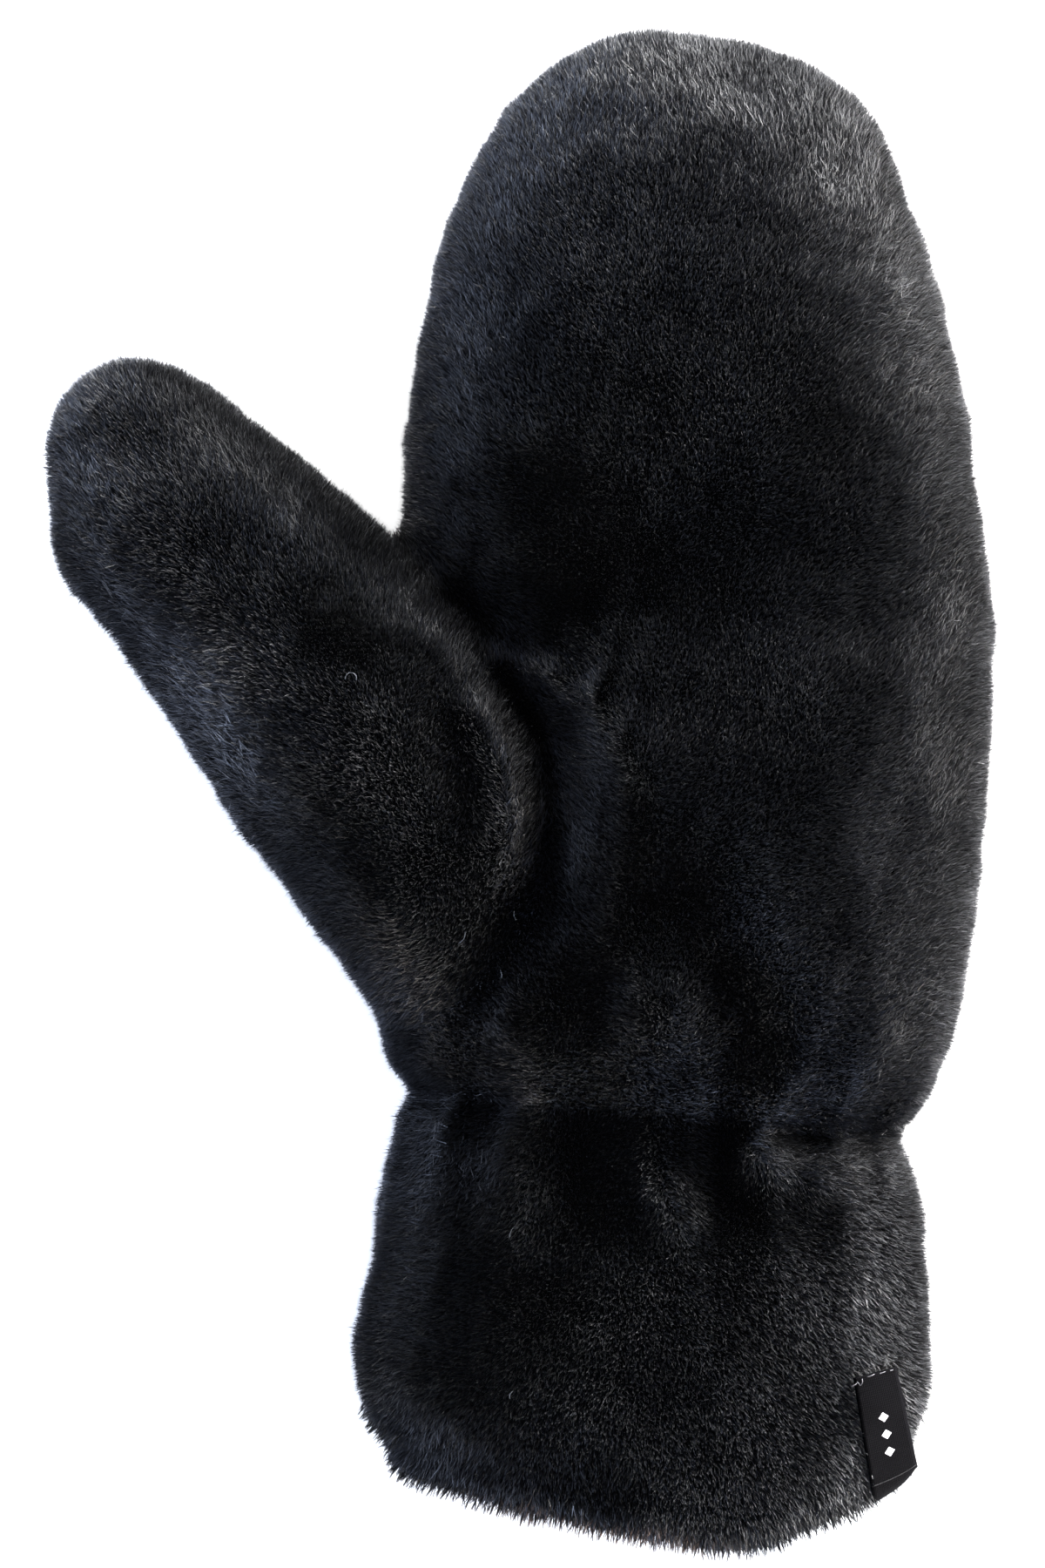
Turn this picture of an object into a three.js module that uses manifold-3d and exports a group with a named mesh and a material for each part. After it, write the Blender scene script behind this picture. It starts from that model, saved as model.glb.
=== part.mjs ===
// A plush faux fur mitten for the left hand, lying on its back with the palm up.
// Millimetres, +Z up, +Y from the cuff to the fingertips, +X towards the little finger.
// The solids follow the outside of the pile. Each wall is pile, backing and lining together,
// and the hollow runs from the mouth of the cuff to the ends of the fingers and the thumb.
import * as THREE from "three";
import { mergeVertices } from "three/addons/utils/BufferGeometryUtils.js";
import Module from "manifold-3d";

const wasm = await Module();
wasm.setup();

// The hand pouch, from the wrist seam to the fingertips.
const HAND_LENGTH = 229;
const HAND_WIDTH = 124;
const HAND_THICKNESS = 60;

// The wrist seam, drawn in by its elastic. The slant is how far its thumb end lies above its middle.
const WRIST_WIDTH = 103;
const WRIST_THICKNESS = 43;
const WRIST_LIFT = 6;
const WRIST_SLANT = 5;
const PINCH_REACH = 22;
// The share of the wrist's width on the thumb's side of the arm's axis.
const WRIST_THUMB_SHARE = 0.53;

// The cuff: the length of its sides, and how much further the low point of its hem hangs.
const CUFF_LENGTH = 71;
const CUFF_WIDTH = 122;
const CUFF_THICKNESS = 50;
const HEM_DROOP = 15;

// The thumb, from its root inside the hand to its tip.
const THUMB_LENGTH = 164;
const THUMB_WIDTH = 60;
const THUMB_THICKNESS = 54;
const THUMB_ANGLE = 128;

// The woven label: its face lies on the palm side of the cuff, leans towards the little finger
// and folds over the hem, and its end is tucked inside.
const LABEL_WIDTH = 10;
const LABEL_CLOTH = 1;
const LABEL_TUCK = 8;
const LABEL_LEAN = 21;
const LABEL_GAP = 0.5;

const FUR_WALL = 10;
const THUMB_WALL = 9;
const SEAM_GAP = 0.3;
const SEAM_HEIGHT = 27;
const SEAM_TILT = 8;
// How far the soft underside is pressed flat where it rests.
const FLATTENED = 1.6;

// How finely the rings and the points round them are spaced. Ends are closer than middles.
const PALM_SIDES = 30;
const BACK_SIDES = 18;
const HAND_RINGS = 34;
const CUFF_RINGS = 12;
const RIM_RINGS = 4;
const THUMB_SIDES = 30;
const THUMB_RINGS = 24;
const INNER_RINGS = 12;
const LABEL_ROWS = 20;
const LABEL_COLUMNS = 4;
const END_CLOSENESS = 0.6;

// Fullness of a section: 2 is an ellipse, and a larger number is squarer.
const PALM_FULLNESS = 2.3;
const BACK_FULLNESS = 2.9;
const THUMB_FULLNESS = 2.3;
// The height of a section's widest place, as a share of its thickness.
const WIDEST_HEIGHT = 0.46;

// Where the thumb's root lies in the hand: shares of HAND_WIDTH and HAND_LENGTH.
const thumbRoot = { across: -0.208, along: 0.1135 };

// Where the hem hangs lowest, as a share of the half-width towards the little finger,
// and how full the hem's line is on either side of that place.
const hem = { low: 0.25, thumbSide: 1.1, fingerSide: 1.7 };

// Where the label starts. along: share of CUFF_LENGTH. around: share of a turn.
const labelStart = { along: 0.715, around: 0.11 };

// Sections of the hand. at: share of HAND_LENGTH from the wrist seam. left, right: shares of
// HAND_WIDTH either side of the arm's axis. back, palm: heights, as shares of HAND_THICKNESS.
const handSections = [
  { at: 0.0, left: 0.52, right: 0.466, back: 0.0, palm: 0.92 },
  { at: 0.08, left: 0.496, right: 0.479, back: 0.0, palm: 0.97 },
  { at: 0.16, left: 0.466, right: 0.509, back: 0.0, palm: 1.0 },
  { at: 0.25, left: 0.455, right: 0.53, back: 0.0, palm: 1.0 },
  { at: 0.37, left: 0.449, right: 0.544, back: 0.0, palm: 1.0 },
  { at: 0.465, left: 0.449, right: 0.549, back: 0.0, palm: 0.99 },
  { at: 0.52, left: 0.452, right: 0.534, back: 0.0, palm: 0.98 },
  { at: 0.59, left: 0.454, right: 0.518, back: 0.0, palm: 0.97 },
  { at: 0.66, left: 0.445, right: 0.499, back: 0.0, palm: 0.95 },
  { at: 0.735, left: 0.415, right: 0.471, back: 0.0, palm: 0.92 },
  { at: 0.805, left: 0.392, right: 0.433, back: 0.01, palm: 0.87 },
  { at: 0.855, left: 0.357, right: 0.398, back: 0.03, palm: 0.82 },
  { at: 0.902, left: 0.307, right: 0.365, back: 0.07, palm: 0.76 },
  { at: 0.926, left: 0.277, right: 0.334, back: 0.1, palm: 0.72 },
  { at: 0.95, left: 0.235, right: 0.291, back: 0.14, palm: 0.67 },
  { at: 0.974, left: 0.182, right: 0.22, back: 0.2, palm: 0.61 },
  { at: 0.99, left: 0.12, right: 0.13, back: 0.26, palm: 0.54 },
  { at: 1.0, left: 0.06, right: -0.01, back: 0.35, palm: 0.45 },
];

// Sections of the cuff. at: share of CUFF_LENGTH below the wrist seam. left, right: shares of
// CUFF_WIDTH. back, palm: heights, as shares of CUFF_THICKNESS.
const cuffSections = [
  { at: 0.0, left: 0.515, right: 0.44, back: 0.0, palm: 0.98 },
  { at: 0.17, left: 0.506, right: 0.43, back: 0.0, palm: 0.99 },
  { at: 0.34, left: 0.508, right: 0.441, back: 0.0, palm: 1.0 },
  { at: 0.535, left: 0.527, right: 0.448, back: 0.0, palm: 1.0 },
  { at: 0.704, left: 0.553, right: 0.453, back: 0.0, palm: 0.99 },
  { at: 0.76, left: 0.552, right: 0.453, back: 0.0, palm: 0.98 },
  { at: 0.873, left: 0.53, right: 0.438, back: 0.01, palm: 0.96 },
  { at: 0.93, left: 0.507, right: 0.428, back: 0.02, palm: 0.94 },
  { at: 1.0, left: 0.49, right: 0.42, back: 0.04, palm: 0.92 },
];

// Sections of the thumb. at: share of THUMB_LENGTH from the root. left, right: shares of
// THUMB_WIDTH either side of its axis. high: share of THUMB_THICKNESS. middle: height of the
// section's middle, as a share of HAND_THICKNESS.
const thumbSections = [
  { at: 0.0, left: 0.3, right: 0.12, high: 0.56, middle: 0.45 },
  { at: 0.06, left: 0.47, right: 0.24, high: 0.76, middle: 0.5 },
  { at: 0.115, left: 0.53, right: 0.34, high: 0.88, middle: 0.54 },
  { at: 0.157, left: 0.518, right: 0.44, high: 0.94, middle: 0.56 },
  { at: 0.2, left: 0.512, right: 0.52, high: 0.98, middle: 0.58 },
  { at: 0.26, left: 0.513, right: 0.57, high: 1.0, middle: 0.58 },
  { at: 0.348, left: 0.503, right: 0.58, high: 1.0, middle: 0.575 },
  { at: 0.42, left: 0.495, right: 0.61, high: 1.0, middle: 0.56 },
  { at: 0.468, left: 0.487, right: 0.63, high: 0.99, middle: 0.54 },
  { at: 0.55, left: 0.462, right: 0.575, high: 0.97, middle: 0.48 },
  { at: 0.612, left: 0.455, right: 0.53, high: 0.95, middle: 0.43 },
  { at: 0.673, left: 0.452, right: 0.512, high: 0.92, middle: 0.395 },
  { at: 0.734, left: 0.448, right: 0.477, high: 0.88, middle: 0.37 },
  { at: 0.795, left: 0.447, right: 0.428, high: 0.82, middle: 0.345 },
  { at: 0.843, left: 0.43, right: 0.388, high: 0.76, middle: 0.325 },
  { at: 0.886, left: 0.356, right: 0.37, high: 0.69, middle: 0.31 },
  { at: 0.923, left: 0.275, right: 0.34, high: 0.6, middle: 0.3 },
  { at: 0.965, left: 0.19, right: 0.266, high: 0.46, middle: 0.295 },
  { at: 0.99, left: 0.1, right: 0.16, high: 0.25, middle: 0.29 },
  { at: 1.0, left: 0.0, right: 0.08, high: 0.08, middle: 0.29 },
];

// Gathers at the wrist. around: share of a turn from the little finger's side, over the palm.
// spread: half-width, as a share of a turn. depth: share of WRIST_THICKNESS.
// up, down: how far each runs into the hand and the cuff, as shares of PINCH_REACH.
const gathers = [
  { around: 0.035, spread: 0.016, depth: 0.04, up: 0.5, down: 0.7 },
  { around: 0.098, spread: 0.021, depth: 0.09, up: 1.0, down: 0.8 },
  { around: 0.16, spread: 0.02, depth: 0.07, up: 0.7, down: 1.1 },
  { around: 0.215, spread: 0.021, depth: 0.07, up: 0.9, down: 1.3 },
  { around: 0.285, spread: 0.024, depth: 0.06, up: 1.2, down: 1.2 },
  { around: 0.36, spread: 0.022, depth: 0.06, up: 1.0, down: 0.9 },
  { around: 0.44, spread: 0.02, depth: 0.07, up: 0.8, down: 0.7 },
  { around: 0.56, spread: 0.022, depth: 0.07, up: 1.0, down: 1.0 },
  { around: 0.64, spread: 0.024, depth: 0.08, up: 1.0, down: 1.2 },
  { around: 0.73, spread: 0.024, depth: 0.07, up: 1.2, down: 0.9 },
  { around: 0.81, spread: 0.024, depth: 0.08, up: 0.9, down: 1.1 },
  { around: 0.9, spread: 0.022, depth: 0.08, up: 1.0, down: 1.0 },
];

// Dents (depth above 0) and soft swellings (below 0) of the palm, each along a short stroke.
// x: share of HAND_WIDTH from the axis. y: share of HAND_LENGTH from the wrist seam.
// spread: share of HAND_WIDTH. depth: share of HAND_THICKNESS.
const palmStrokes = [
  // The valley beside the thumb's seam, then the fold of the web at the crotch.
  { x0: -0.33, y0: 0.46, x1: -0.22, y1: 0.34, spread: 0.07, depth: 0.08 },
  { x0: -0.22, y0: 0.34, x1: -0.22, y1: 0.18, spread: 0.08, depth: 0.07 },
  { x0: -0.33, y0: 0.45, x1: -0.17, y1: 0.435, spread: 0.055, depth: 0.04 },
  // The palm bends where the fingers start.
  { x0: -0.14, y0: 0.47, x1: 0.2, y1: 0.5, spread: 0.15, depth: 0.035 },
  // The pads of the palm, and the hollows between them.
  { x0: -0.1, y0: 0.36, x1: -0.02, y1: 0.28, spread: 0.12, depth: -0.045 },
  { x0: 0.14, y0: 0.2, x1: 0.27, y1: 0.36, spread: 0.13, depth: -0.03 },
  { x0: 0.0, y0: 0.2, x1: 0.11, y1: 0.08, spread: 0.08, depth: 0.04 },
  { x0: -0.03, y0: 0.11, x1: -0.01, y1: 0.1, spread: 0.07, depth: -0.035 },
  { x0: 0.54, y0: 0.465, x1: 0.36, y1: 0.475, spread: 0.06, depth: 0.045 },
  // The small dip at the fingertips.
  { x0: 0.11, y0: 1.0, x1: 0.13, y1: 0.95, spread: 0.07, depth: 0.06 },
];

const mix = THREE.MathUtils.lerp;

// One column of a table at a share along it, on a smooth curve through the rows.
function columnAt(table, column, at) {
  const end = table.length - 1;
  const found = table.findIndex((row) => row.at >= at);
  const high = THREE.MathUtils.clamp(found < 0 ? end : found, 1, end);
  const slope = (i) => {
    const before = table[Math.max(i - 1, 0)];
    const after = table[Math.min(i + 1, end)];
    return (after[column] - before[column]) / (after.at - before.at);
  };
  const a = table[high - 1];
  const b = table[high];
  const span = b.at - a.at;
  const t = THREE.MathUtils.clamp((at - a.at) / span, 0, 1);
  const u = 1 - t;
  return (
    u * u * (1 + 2 * t) * a[column] +
    t * t * (1 + 2 * u) * b[column] +
    t * u * u * span * slope(high - 1) -
    t * t * u * span * slope(high)
  );
}

// From 0 at the wrist seam to 1 where the elastic no longer draws the fur in.
function swell(distance) {
  const roundness = 0.8;
  const left = THREE.MathUtils.clamp(1 - distance / PINCH_REACH, 0, 1);
  return (1 - left * left) ** roundness;
}

// A section in millimetres: the table's form, drawn in towards the wrist seam.
function sectionAt(table, at, width, thickness, distance) {
  const free = swell(distance);
  const wristLeft = WRIST_WIDTH * WRIST_THUMB_SHARE;
  const pressed = FLATTENED * free;
  return {
    left: mix(wristLeft, width * columnAt(table, "left", at), free),
    right: mix(WRIST_WIDTH - wristLeft, width * columnAt(table, "right", at), free),
    back: mix(WRIST_LIFT, thickness * columnAt(table, "back", at), free) - pressed,
    palm: mix(WRIST_LIFT + WRIST_THICKNESS, thickness * columnAt(table, "palm", at), free),
  };
}

// A number's size raised to a power, with its sign kept.
function signedPower(value, power) {
  return Math.sign(value) * Math.abs(value) ** power;
}

// A point round a section. The palm side is rounder than the side it lies on.
// shrink holds the shares by which the width and the thickness are drawn in or let out.
function pointRound(section, angle, shrink) {
  const halfWidth = ((section.left + section.right) / 2) * shrink.wide;
  const middle = mix(section.back, section.palm, WIDEST_HEIGHT);
  const c = Math.cos(angle);
  const s = Math.sin(angle);
  const rise = (s > 0 ? section.palm - middle : middle - section.back) * shrink.high;
  const power = 2 / (s > 0 ? PALM_FULLNESS : BACK_FULLNESS);
  return {
    x: (section.right - section.left) / 2 + signedPower(c, power) * halfWidth,
    z: middle + signedPower(s, power) * rise,
    over: Math.max(s, 0),
  };
}

// The shares for a skin that lies a given depth inside the pile.
function shrinkFor(depth, width, thickness) {
  return { wide: 1 - (2 * depth) / width, high: 1 - (2 * depth) / thickness };
}

// How far the gathers draw the outside in, as a share, at a distance from the wrist seam.
function gatherShare(angle, distance, reach) {
  const turn = angle / (2 * Math.PI);
  return gathers.reduce((sum, g) => {
    const away = Math.abs(turn - g.around);
    const across = Math.min(away, 1 - away) / g.spread;
    const along = distance / (g[reach] * PINCH_REACH);
    return sum + 2 * g.depth * Math.exp(-across * across - along * along);
  }, 0);
}

// The depth of the palm's dents at a place on the hand, with swellings below 0.
function strokeDepth(x, y) {
  return palmStrokes.reduce((sum, s) => {
    const from = new THREE.Vector2(s.x0 * HAND_WIDTH, s.y0 * HAND_LENGTH);
    const run = new THREE.Vector2(s.x1 * HAND_WIDTH, s.y1 * HAND_LENGTH).sub(from);
    const here = new THREE.Vector2(x, y).sub(from);
    const share = THREE.MathUtils.clamp(here.dot(run) / run.lengthSq(), 0, 1);
    const away = here.addScaledVector(run, -share).length() / (s.spread * HAND_WIDTH);
    return sum + s.depth * HAND_THICKNESS * Math.exp(-away * away);
  }, 0);
}

// How far a place on the wrist seam lies towards the cuff, the little finger's side most.
// It fades away from the seam.
function slantAt(x, at) {
  const fade = 4;
  return ((-2 * WRIST_SLANT * x) / WRIST_WIDTH) * (1 - at) ** fade;
}

// A point of the hand, a given depth inside the outside of the pile.
function handPoint(at, angle, depth) {
  const section = sectionAt(handSections, at, HAND_WIDTH, HAND_THICKNESS, at * HAND_LENGTH);
  const shrink = shrinkFor(depth, HAND_WIDTH, HAND_THICKNESS);
  const outside = 1 - Math.max(depth, 0) / FUR_WALL;
  shrink.high *= 1 - outside * gatherShare(angle, at * HAND_LENGTH, "up");
  const p = pointRound(section, angle, shrink);
  const y = at * (HAND_LENGTH - depth) + slantAt(p.x, at);
  return new THREE.Vector3(p.x, y, p.z - outside * p.over * strokeDepth(p.x, y));
}

// How much further than its sides the hem hangs at a place across the cuff, from -1 to 1.
function hangAt(across) {
  const towardsThumb = across < hem.low;
  const reach = towardsThumb ? 1 + hem.low : 1 - hem.low;
  const away = Math.min(Math.abs(across - hem.low) / reach, 1);
  return HEM_DROOP * (1 - away ** (towardsThumb ? hem.thumbSide : hem.fingerSide));
}

// A point of the cuff, a given depth inside the outside of the pile and beyond its last section.
function cuffPoint(at, angle, depth, beyond = 0) {
  const section = sectionAt(cuffSections, at, CUFF_WIDTH, CUFF_THICKNESS, at * CUFF_LENGTH);
  const shrink = shrinkFor(depth, CUFF_WIDTH, CUFF_THICKNESS);
  const outside = 1 - Math.max(depth, 0) / FUR_WALL;
  shrink.high *= 1 - outside * gatherShare(angle, at * CUFF_LENGTH, "down");
  const p = pointRound(section, angle, shrink);
  const across = (2 * p.x - section.right + section.left) / (section.left + section.right);
  const fall = at * CUFF_LENGTH + at * at * hangAt(across) + beyond;
  return new THREE.Vector3(p.x, slantAt(p.x, at) - SEAM_GAP - fall, p.z);
}

// A point at a run down the outside of the cuff, over its rolled hem and back up the inside,
// at a height off the pile.
function cuffSurface(run, angle, height) {
  const radius = FUR_WALL / 2;
  const overHem = Math.PI * radius;
  if (run <= CUFF_LENGTH) return cuffPoint(run / CUFF_LENGTH, angle, -height);
  if (run < CUFF_LENGTH + overHem) {
    const turn = (run - CUFF_LENGTH) / radius;
    const depth = radius - (radius + height) * Math.cos(turn);
    return cuffPoint(1, angle, depth, (radius + height) * Math.sin(turn));
  }
  const backUp = run - overHem - CUFF_LENGTH;
  return cuffPoint(1 - backUp / CUFF_LENGTH, angle, FUR_WALL + height);
}

// The thumb's axis in plan: where it starts, the way it runs, and the way that its side
// towards the fingers faces.
const thumbTurn = THREE.MathUtils.degToRad(THUMB_ANGLE);
const thumbAxis = {
  root: new THREE.Vector3(thumbRoot.across * HAND_WIDTH, thumbRoot.along * HAND_LENGTH, 0),
  run: new THREE.Vector3(Math.cos(thumbTurn), Math.sin(thumbTurn), 0),
  side: new THREE.Vector3(Math.sin(thumbTurn), -Math.cos(thumbTurn), 0),
};

// A point of the thumb, a given depth inside the outside of the pile.
function thumbPoint(at, angle, depth) {
  const shrink = shrinkFor(depth, THUMB_WIDTH, THUMB_THICKNESS);
  const left = columnAt(thumbSections, "left", at) * THUMB_WIDTH;
  const right = columnAt(thumbSections, "right", at) * THUMB_WIDTH;
  const high = columnAt(thumbSections, "high", at) * THUMB_THICKNESS * shrink.high;
  const middle = columnAt(thumbSections, "middle", at) * HAND_THICKNESS;
  const power = 2 / THUMB_FULLNESS;
  const wide = (left + right) * shrink.wide;
  const across = (right - left + signedPower(Math.cos(angle), power) * wide) / 2;
  const rise = (signedPower(Math.sin(angle), power) * high) / 2;
  const point = thumbAxis.root.clone().addScaledVector(thumbAxis.run, at * (THUMB_LENGTH - depth));
  return point.addScaledVector(thumbAxis.side, across).setZ(middle + rise);
}

// Shares from 0 to 1, closer together towards both ends, where the forms are round.
function spacedShares(count) {
  return Array.from({ length: count + 1 }, (_, k) => {
    const eased = (1 - Math.cos((Math.PI * k) / count)) / 2;
    return mix(k / count, eased, END_CLOSENESS);
  });
}

// The angles of the points round a ring, from the little finger's side over the palm.
function anglesRound(palmSides, backSides) {
  const palm = Array.from({ length: palmSides }, (_, k) => (Math.PI * k) / palmSides);
  const back = Array.from({ length: backSides }, (_, k) => Math.PI * (1 + k / backSides));
  return [...palm, ...back];
}

const handAngles = anglesRound(PALM_SIDES, BACK_SIDES);
const thumbAngles = anglesRound(THUMB_SIDES / 2, THUMB_SIDES / 2);

// A closed skin through rings with as many points each. Its ends are closed by fans, or the last
// ring is joined to the first.
function skin(rings, joined = false) {
  const sides = rings[0].length;
  const points = rings.flat();
  const faces = [];
  const spans = joined ? rings.length : rings.length - 1;
  for (let i = 0; i < spans; i += 1) {
    const here = i * sides;
    const next = ((i + 1) % rings.length) * sides;
    for (let k = 0; k < sides; k += 1) {
      const after = (k + 1) % sides;
      faces.push(here + k, next + after, next + k, here + k, here + after, next + after);
    }
  }
  if (!joined) {
    const middle = (r) => r.reduce((sum, p) => sum.add(p), new THREE.Vector3()).divideScalar(sides);
    const last = (rings.length - 1) * sides;
    points.push(middle(rings[0]), middle(rings[rings.length - 1]));
    for (let k = 0; k < sides; k += 1) {
      const after = (k + 1) % sides;
      faces.push(points.length - 2, after, k, points.length - 1, last + k, last + after);
    }
  }
  return new THREE.BufferGeometry().setFromPoints(points).setIndex(faces);
}

function solidOf(geometry) {
  return new wasm.Manifold(
    new wasm.Mesh({
      numProp: 3,
      vertProperties: geometry.attributes.position.array,
      triVerts: new Uint32Array(geometry.index.array),
    }),
  );
}

function geometryOf(solid) {
  const mesh = solid.getMesh();
  const made = new THREE.BufferGeometry();
  made.setAttribute("position", new THREE.BufferAttribute(mesh.vertProperties, 3));
  made.setIndex(new THREE.BufferAttribute(mesh.triVerts, 1));
  made.computeVertexNormals();
  return made;
}

// A box that holds the whole mitten on one side of a plane.
function halfSpace(height, tilt, above) {
  const reach = 4 * (HAND_LENGTH + HAND_WIDTH);
  const box = new THREE.BoxGeometry(reach, reach, reach);
  box.deleteAttribute("normal");
  box.deleteAttribute("uv");
  box.translate(0, 0, (above ? 1 : -1) * (reach / 2));
  box.rotateY(THREE.MathUtils.degToRad(-tilt));
  box.translate(0, 0, height);
  return solidOf(mergeVertices(box));
}

function handRings(count, depth) {
  return spacedShares(count).map((at) => handAngles.map((angle) => handPoint(at, angle, depth)));
}

function thumbRings(count, depth) {
  return spacedShares(count).map((at) => thumbAngles.map((angle) => thumbPoint(at, angle, depth)));
}

// The hollow hand: outside from the fingertips to the wrist, then inside back to the fingertips.
function handShell() {
  return solidOf(skin([...handRings(HAND_RINGS, 0).reverse(), ...handRings(INNER_RINGS, FUR_WALL)]));
}

const floor = halfSpace(0, 0, true);
const thumbHollow = solidOf(skin(thumbRings(INNER_RINGS, THUMB_WALL).reverse()));
const hand = handShell().intersect(floor).subtract(thumbHollow);

function palmPanel() {
  return hand.intersect(halfSpace(SEAM_HEIGHT + SEAM_GAP / 2, SEAM_TILT, true));
}

function backPanel() {
  return hand.intersect(halfSpace(SEAM_HEIGHT - SEAM_GAP / 2, SEAM_TILT, false));
}

// The thumb ends at the hand's outside, which is let out by the seam gap to cut it.
function thumb() {
  const outside = solidOf(skin(thumbRings(THUMB_RINGS, 0).reverse()));
  const fullHand = solidOf(skin(handRings(HAND_RINGS, -SEAM_GAP).reverse()));
  return outside.intersect(floor).subtract(thumbHollow).subtract(fullHand);
}

// The cuff: outside from the wrist seam to the hem, round the rolled hem, and back inside.
function cuff() {
  const down = spacedShares(CUFF_RINGS).map((share) => share * CUFF_LENGTH);
  const overHem = Array.from(
    { length: RIM_RINGS - 1 },
    (_, k) => CUFF_LENGTH + (Math.PI * (FUR_WALL / 2) * (k + 1)) / RIM_RINGS,
  );
  const outside = [...down, ...overHem].map((run) =>
    handAngles.map((angle) => cuffSurface(run, angle, 0)),
  );
  const inside = spacedShares(INNER_RINGS / 2)
    .reverse()
    .map((at) => handAngles.map((angle) => cuffPoint(at, angle, FUR_WALL)));
  return solidOf(skin([...outside, ...inside], true)).intersect(floor);
}

// The angle round the cuff that a millimetre takes at a place on it.
function turnPerMillimetre(run, angle) {
  const nearby = 0.02;
  const before = cuffSurface(run, angle - nearby, 0);
  return (2 * nearby) / before.distanceTo(cuffSurface(run, angle + nearby, 0));
}

// The label's middle line, as places on the cuff: down its face, over the hem and tucked inside.
function labelLine() {
  const lean = THREE.MathUtils.degToRad(LABEL_LEAN);
  const start = labelStart.along * CUFF_LENGTH;
  const end = CUFF_LENGTH + (Math.PI * FUR_WALL) / 2 + LABEL_TUCK;
  const step = (end - start) / LABEL_ROWS;
  const places = [{ run: start, angle: labelStart.around * 2 * Math.PI }];
  for (let k = 0; k < LABEL_ROWS; k += 1) {
    const { run, angle } = places[k];
    const turn = step * Math.tan(lean) * turnPerMillimetre(run, angle);
    places.push({ run: run + step, angle: angle - turn });
  }
  return places;
}

function label() {
  const rows = (height) =>
    labelLine().map(({ run, angle }) => {
      const halfTurn = (LABEL_WIDTH / 2) * turnPerMillimetre(run, angle);
      return Array.from({ length: LABEL_COLUMNS + 1 }, (_, k) =>
        cuffSurface(run, angle + halfTurn * ((2 * k) / LABEL_COLUMNS - 1), height),
      );
    });
  const over = rows(LABEL_GAP + LABEL_CLOTH);
  return solidOf(skin(rows(LABEL_GAP).map((under, i) => [...over[i], ...under.reverse()])));
}

// The finish that each piece shows outside.
const plush = new THREE.MeshStandardMaterial({ color: 0x121416, roughness: 0.95, metalness: 0 });
const ribbon = new THREE.MeshStandardMaterial({ color: 0x15141a, roughness: 0.55, metalness: 0 });

const mitten = new THREE.Group();
for (const [name, solid, material] of [
  ["palm_panel", palmPanel(), plush],
  ["back_panel", backPanel(), plush],
  ["thumb", thumb(), plush],
  ["cuff", cuff(), plush],
  ["label", label(), ribbon],
]) {
  const mesh = new THREE.Mesh(geometryOf(solid), material);
  mesh.name = name;
  mitten.add(mesh);
}

// The origin is under the middle of the mitten, on the surface it lies on.
const extent = new THREE.Box3().setFromObject(mitten);
const middle = extent.getCenter(new THREE.Vector3());
mitten.position.set(-middle.x, -middle.y, -extent.min.z);

export default mitten;
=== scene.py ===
# %% [markdown]
# # A plush faux fur mitten
#
# The real mitten is cut from black faux fur: a knitted backing with a short, dense, soft pile
# that hides every seam. It lies on its back with the palm up. The wrist is drawn in, the cuff
# flares, and a small woven label is folded over the hem.
#
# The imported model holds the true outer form, which is where the tips of the pile end. This
# lesson dresses it: a knitted backing under the surface, more than 800,000 fine pile fibres on
# it, the lining in the hollow, and the label.

import bmesh
import bpy
import numpy as np
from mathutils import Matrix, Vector
from mathutils.bvhtree import BVHTree


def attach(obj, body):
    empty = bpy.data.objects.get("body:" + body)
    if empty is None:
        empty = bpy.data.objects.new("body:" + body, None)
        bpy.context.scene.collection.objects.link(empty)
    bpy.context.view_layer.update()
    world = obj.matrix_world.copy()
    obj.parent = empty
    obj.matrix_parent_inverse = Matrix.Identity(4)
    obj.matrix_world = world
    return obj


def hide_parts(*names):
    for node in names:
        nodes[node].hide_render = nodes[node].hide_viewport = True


MM = 0.001
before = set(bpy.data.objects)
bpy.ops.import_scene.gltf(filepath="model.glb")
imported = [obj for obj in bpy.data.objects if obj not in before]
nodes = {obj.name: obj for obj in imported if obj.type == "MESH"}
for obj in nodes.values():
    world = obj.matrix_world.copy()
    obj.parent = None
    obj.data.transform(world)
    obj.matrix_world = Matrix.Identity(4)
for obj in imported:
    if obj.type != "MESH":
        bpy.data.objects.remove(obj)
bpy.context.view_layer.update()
plush_nodes = ["palm_panel", "back_panel", "thumb", "cuff"]

# %% [markdown]
# ## Two helpers
#
# Colours are given as sRGB hex values, but a shader works in linear light, so one
# function turns them round. A second one adds any shader node with its settings and links.

# %% Colour and node helpers
def linear(hex_colour):
    """An sRGB hex colour as linear red, green, blue and alpha."""
    parts = [int(hex_colour[i : i + 2], 16) / 255 for i in (1, 3, 5)]
    return [c / 12.92 if c <= 0.04045 else ((c + 0.055) / 1.055) ** 2.4 for c in parts] + [1.0]


def add_node(tree, kind, settings=None, **inputs):
    """Adds a shader node. settings are its properties, inputs are values or sockets to link."""
    node = tree.nodes.new(kind)
    for name, value in (settings or {}).items():
        setattr(node, name, value)
    for name, value in inputs.items():
        key = int(name[1:]) if name[0] == "_" else name.replace("_", " ")
        if isinstance(value, bpy.types.NodeSocket):
            tree.links.new(value, node.inputs[key])
        else:
            node.inputs[key].default_value = value
    return node


def new_material(name):
    """An empty node material and its tree, with no nodes in it yet."""
    material = bpy.data.materials.new(name)
    material.use_nodes = True
    tree = material.node_tree
    tree.nodes.clear()
    return material, tree


def finish_material(tree, shader):
    add_node(tree, "ShaderNodeOutputMaterial", Surface=shader.outputs[0])


# %% [markdown]
# ## Camera
#
# The photograph looks straight down. Its frame is 1200 by 1800 pixels and covers 330.6 mm of
# height at the mitten's widest level. The sensor width belongs to the long side of the frame.

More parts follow.
